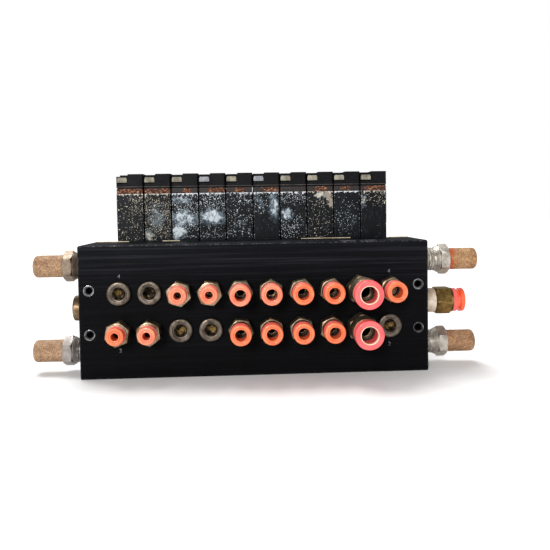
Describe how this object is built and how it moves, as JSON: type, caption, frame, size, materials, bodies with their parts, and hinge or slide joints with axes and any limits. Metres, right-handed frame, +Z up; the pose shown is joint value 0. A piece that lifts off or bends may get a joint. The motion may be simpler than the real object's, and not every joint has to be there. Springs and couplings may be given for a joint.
{
  "type": "pneumatic valve manifold",
  "caption": "Bored aluminium manifold with push-in tube fittings, sintered exhaust silencers and a row of direct-acting solenoid valves standing on its rear face.",
  "frame": {"origin": "centre of the base's lower long face, on which the part stands", "axes": "+X along the base to the supply fitting, -Y out of the port face, +Z up to the solenoid ends"},
  "size_m": [0.2958, 0.1174, 0.1315],
  "materials": {
    "black_anodised": "black anodised, satin",
    "valve_casting": "die cast, dark coating with pale corrosion specks",
    "seal_rubber": "matte",
    "screw_steel": "zinc plated, dull",
    "cover_plastic": "matte",
    "solenoid_plastic": "moulded, matte",
    "copper": "enamelled copper wire",
    "rusted_steel": "rusted",
    "spring_steel": "bright",
    "cap_plastic": "matte",
    "beige_plastic": "matte",
    "nickel_brass": "nickel plated, dirty",
    "coral_plastic": "semi-gloss",
    "orange_plastic": "semi-gloss",
    "plug_brass": "plated, dull",
    "worn_nickel": "nickel plated, worn",
    "bright_nickel": "nickel plated",
    "sintered_bronze": "porous sintered grains",
    "button_brass": "turned",
    "spool_steel": "ground"
  },
  "bodies": {
    "manifold": {"manifold_base": "black_anodised", "valve_bodies": "valve_casting", "valve_gaskets": "seal_rubber", "valve_screws": "screw_steel", "end_covers": "cover_plastic", "solenoid_housings": "solenoid_plastic", "coil_windings": "copper", "yoke_plates": "rusted_steel", "return_springs": "spring_steel", "connector_caps": "cap_plastic", "connector_inserts": "beige_plastic", "fitting_bodies": "nickel_brass", "guide_rings": "coral_plastic", "tube_seals": "seal_rubber", "collet_chucks": "spring_steel", "port_plugs": "plug_brass", "silencer_body_upper_left": "worn_nickel", "silencer_body_upper_right": "bright_nickel", "silencer_body_lower_left": "bright_nickel", "silencer_body_lower_right": "bright_nickel", "silencer_element_upper_left": "sintered_bronze", "silencer_element_upper_right": "sintered_bronze", "silencer_element_lower_left": "sintered_bronze", "silencer_element_lower_right": "sintered_bronze"},
    "release_collar_a3": {"release_collar_a3": "orange_plastic"},
    "release_collar_a4": {"release_collar_a4": "orange_plastic"},
    "release_collar_a5": {"release_collar_a5": "orange_plastic"},
    "release_collar_a6": {"release_collar_a6": "orange_plastic"},
    "release_collar_a7": {"release_collar_a7": "orange_plastic"},
    "release_collar_a8": {"release_collar_a8": "orange_plastic"},
    "release_collar_a9": {"release_collar_a9": "coral_plastic"},
    "release_collar_a10": {"release_collar_a10": "orange_plastic"},
    "release_collar_b1": {"release_collar_b1": "orange_plastic"},
    "release_collar_b2": {"release_collar_b2": "orange_plastic"},
    "release_collar_b5": {"release_collar_b5": "orange_plastic"},
    "release_collar_b6": {"release_collar_b6": "orange_plastic"},
    "release_collar_b7": {"release_collar_b7": "orange_plastic"},
    "release_collar_b8": {"release_collar_b8": "orange_plastic"},
    "release_collar_b9": {"release_collar_b9": "coral_plastic"},
    "release_collar_supply": {"release_collar_supply": "orange_plastic"},
    "override_button_1": {"override_button_1": "button_brass"},
    "override_button_2": {"override_button_2": "button_brass"},
    "override_button_3": {"override_button_3": "button_brass"},
    "override_button_4": {"override_button_4": "button_brass"},
    "override_button_5": {"override_button_5": "button_brass"},
    "override_button_6": {"override_button_6": "button_brass"},
    "override_button_7": {"override_button_7": "button_brass"},
    "override_button_8": {"override_button_8": "button_brass"},
    "override_button_9": {"override_button_9": "button_brass"},
    "override_button_10": {"override_button_10": "button_brass"},
    "spool_1": {"spool_1": "spool_steel"},
    "spool_2": {"spool_2": "spool_steel"},
    "spool_3": {"spool_3": "spool_steel"},
    "spool_4": {"spool_4": "spool_steel"},
    "spool_5": {"spool_5": "spool_steel"},
    "spool_6": {"spool_6": "spool_steel"},
    "spool_7": {"spool_7": "spool_steel"},
    "spool_8": {"spool_8": "spool_steel"},
    "spool_9": {"spool_9": "spool_steel"},
    "spool_10": {"spool_10": "spool_steel"}
  },
  "joints": [
    {"name": "collar_press_a3", "type": "slide", "parent": "manifold", "child": "release_collar_a3", "axis": [0, 1, 0], "range_m": [0, 0.0012], "stiffness_N_per_m": 800, "springref_m": -0.002},
    {"name": "collar_press_a4", "type": "slide", "parent": "manifold", "child": "release_collar_a4", "axis": [0, 1, 0], "range_m": [0, 0.0012], "stiffness_N_per_m": 800, "springref_m": -0.002},
    {"name": "collar_press_a5", "type": "slide", "parent": "manifold", "child": "release_collar_a5", "axis": [0, 1, 0], "range_m": [0, 0.0012], "stiffness_N_per_m": 800, "springref_m": -0.002},
    {"name": "collar_press_a6", "type": "slide", "parent": "manifold", "child": "release_collar_a6", "axis": [0, 1, 0], "range_m": [0, 0.0012], "stiffness_N_per_m": 800, "springref_m": -0.002},
    {"name": "collar_press_a7", "type": "slide", "parent": "manifold", "child": "release_collar_a7", "axis": [0, 1, 0], "range_m": [0, 0.0012], "stiffness_N_per_m": 800, "springref_m": -0.002},
    {"name": "collar_press_a8", "type": "slide", "parent": "manifold", "child": "release_collar_a8", "axis": [0, 1, 0], "range_m": [0, 0.0012], "stiffness_N_per_m": 800, "springref_m": -0.002},
    {"name": "collar_press_a9", "type": "slide", "parent": "manifold", "child": "release_collar_a9", "axis": [0, 1, 0], "range_m": [0, 0.0012], "stiffness_N_per_m": 800, "springref_m": -0.002},
    {"name": "collar_press_a10", "type": "slide", "parent": "manifold", "child": "release_collar_a10", "axis": [0, 1, 0], "range_m": [0, 0.0012], "stiffness_N_per_m": 800, "springref_m": -0.002},
    {"name": "collar_press_b1", "type": "slide", "parent": "manifold", "child": "release_collar_b1", "axis": [0, 1, 0], "range_m": [0, 0.0012], "stiffness_N_per_m": 800, "springref_m": -0.002},
    {"name": "collar_press_b2", "type": "slide", "parent": "manifold", "child": "release_collar_b2", "axis": [0, 1, 0], "range_m": [0, 0.0012], "stiffness_N_per_m": 800, "springref_m": -0.002},
    {"name": "collar_press_b5", "type": "slide", "parent": "manifold", "child": "release_collar_b5", "axis": [0, 1, 0], "range_m": [0, 0.0012], "stiffness_N_per_m": 800, "springref_m": -0.002},
    {"name": "collar_press_b6", "type": "slide", "parent": "manifold", "child": "release_collar_b6", "axis": [0, 1, 0], "range_m": [0, 0.0012], "stiffness_N_per_m": 800, "springref_m": -0.002},
    {"name": "collar_press_b7", "type": "slide", "parent": "manifold", "child": "release_collar_b7", "axis": [0, 1, 0], "range_m": [0, 0.0012], "stiffness_N_per_m": 800, "springref_m": -0.002},
    {"name": "collar_press_b8", "type": "slide", "parent": "manifold", "child": "release_collar_b8", "axis": [0, 1, 0], "range_m": [0, 0.0012], "stiffness_N_per_m": 800, "springref_m": -0.002},
    {"name": "collar_press_b9", "type": "slide", "parent": "manifold", "child": "release_collar_b9", "axis": [0, 1, 0], "range_m": [0, 0.0012], "stiffness_N_per_m": 800, "springref_m": -0.002},
    {"name": "collar_press_supply", "type": "slide", "parent": "manifold", "child": "release_collar_supply", "axis": [-1, 0, 0], "range_m": [0, 0.0012], "stiffness_N_per_m": 800, "springref_m": -0.002},
    {"name": "override_press_1", "type": "slide", "parent": "manifold", "child": "override_button_1", "axis": [0, -1, 0], "range_m": [0, 0.001], "stiffness_N_per_m": 1000, "springref_m": -0.002},
    {"name": "override_press_2", "type": "slide", "parent": "manifold", "child": "override_button_2", "axis": [0, -1, 0], "range_m": [0, 0.001], "stiffness_N_per_m": 1000, "springref_m": -0.002},
    {"name": "override_press_3", "type": "slide", "parent": "manifold", "child": "override_button_3", "axis": [0, -1, 0], "range_m": [0, 0.001], "stiffness_N_per_m": 1000, "springref_m": -0.002},
    {"name": "override_press_4", "type": "slide", "parent": "manifold", "child": "override_button_4", "axis": [0, -1, 0], "range_m": [0, 0.001], "stiffness_N_per_m": 1000, "springref_m": -0.002},
    {"name": "override_press_5", "type": "slide", "parent": "manifold", "child": "override_button_5", "axis": [0, -1, 0], "range_m": [0, 0.001], "stiffness_N_per_m": 1000, "springref_m": -0.002},
    {"name": "override_press_6", "type": "slide", "parent": "manifold", "child": "override_button_6", "axis": [0, -1, 0], "range_m": [0, 0.001], "stiffness_N_per_m": 1000, "springref_m": -0.002},
    {"name": "override_press_7", "type": "slide", "parent": "manifold", "child": "override_button_7", "axis": [0, -1, 0], "range_m": [0, 0.001], "stiffness_N_per_m": 1000, "springref_m": -0.002},
    {"name": "override_press_8", "type": "slide", "parent": "manifold", "child": "override_button_8", "axis": [0, -1, 0], "range_m": [0, 0.001], "stiffness_N_per_m": 1000, "springref_m": -0.002},
    {"name": "override_press_9", "type": "slide", "parent": "manifold", "child": "override_button_9", "axis": [0, -1, 0], "range_m": [0, 0.001], "stiffness_N_per_m": 1000, "springref_m": -0.002},
    {"name": "override_press_10", "type": "slide", "parent": "manifold", "child": "override_button_10", "axis": [0, -1, 0], "range_m": [0, 0.001], "stiffness_N_per_m": 1000, "springref_m": -0.002},
    {"name": "spool_shift_1", "type": "slide", "parent": "manifold", "child": "spool_1", "axis": [0, 0, 1], "range_m": [0, 0.003], "stiffness_N_per_m": 600, "springref_m": -0.006},
    {"name": "spool_shift_2", "type": "slide", "parent": "manifold", "child": "spool_2", "axis": [0, 0, 1], "range_m": [0, 0.003], "stiffness_N_per_m": 600, "springref_m": -0.006},
    {"name": "spool_shift_3", "type": "slide", "parent": "manifold", "child": "spool_3", "axis": [0, 0, 1], "range_m": [0, 0.003], "stiffness_N_per_m": 600, "springref_m": -0.006},
    {"name": "spool_shift_4", "type": "slide", "parent": "manifold", "child": "spool_4", "axis": [0, 0, 1], "range_m": [0, 0.003], "stiffness_N_per_m": 600, "springref_m": -0.006},
    {"name": "spool_shift_5", "type": "slide", "parent": "manifold", "child": "spool_5", "axis": [0, 0, 1], "range_m": [0, 0.003], "stiffness_N_per_m": 600, "springref_m": -0.006},
    {"name": "spool_shift_6", "type": "slide", "parent": "manifold", "child": "spool_6", "axis": [0, 0, 1], "range_m": [0, 0.003], "stiffness_N_per_m": 600, "springref_m": -0.006},
    {"name": "spool_shift_7", "type": "slide", "parent": "manifold", "child": "spool_7", "axis": [0, 0, 1], "range_m": [0, 0.003], "stiffness_N_per_m": 600, "springref_m": -0.006},
    {"name": "spool_shift_8", "type": "slide", "parent": "manifold", "child": "spool_8", "axis": [0, 0, 1], "range_m": [0, 0.003], "stiffness_N_per_m": 600, "springref_m": -0.006},
    {"name": "spool_shift_9", "type": "slide", "parent": "manifold", "child": "spool_9", "axis": [0, 0, 1], "range_m": [0, 0.003], "stiffness_N_per_m": 600, "springref_m": -0.006},
    {"name": "spool_shift_10", "type": "slide", "parent": "manifold", "child": "spool_10", "axis": [0, 0, 1], "range_m": [0, 0.003], "stiffness_N_per_m": 600, "springref_m": -0.006}
  ]
}
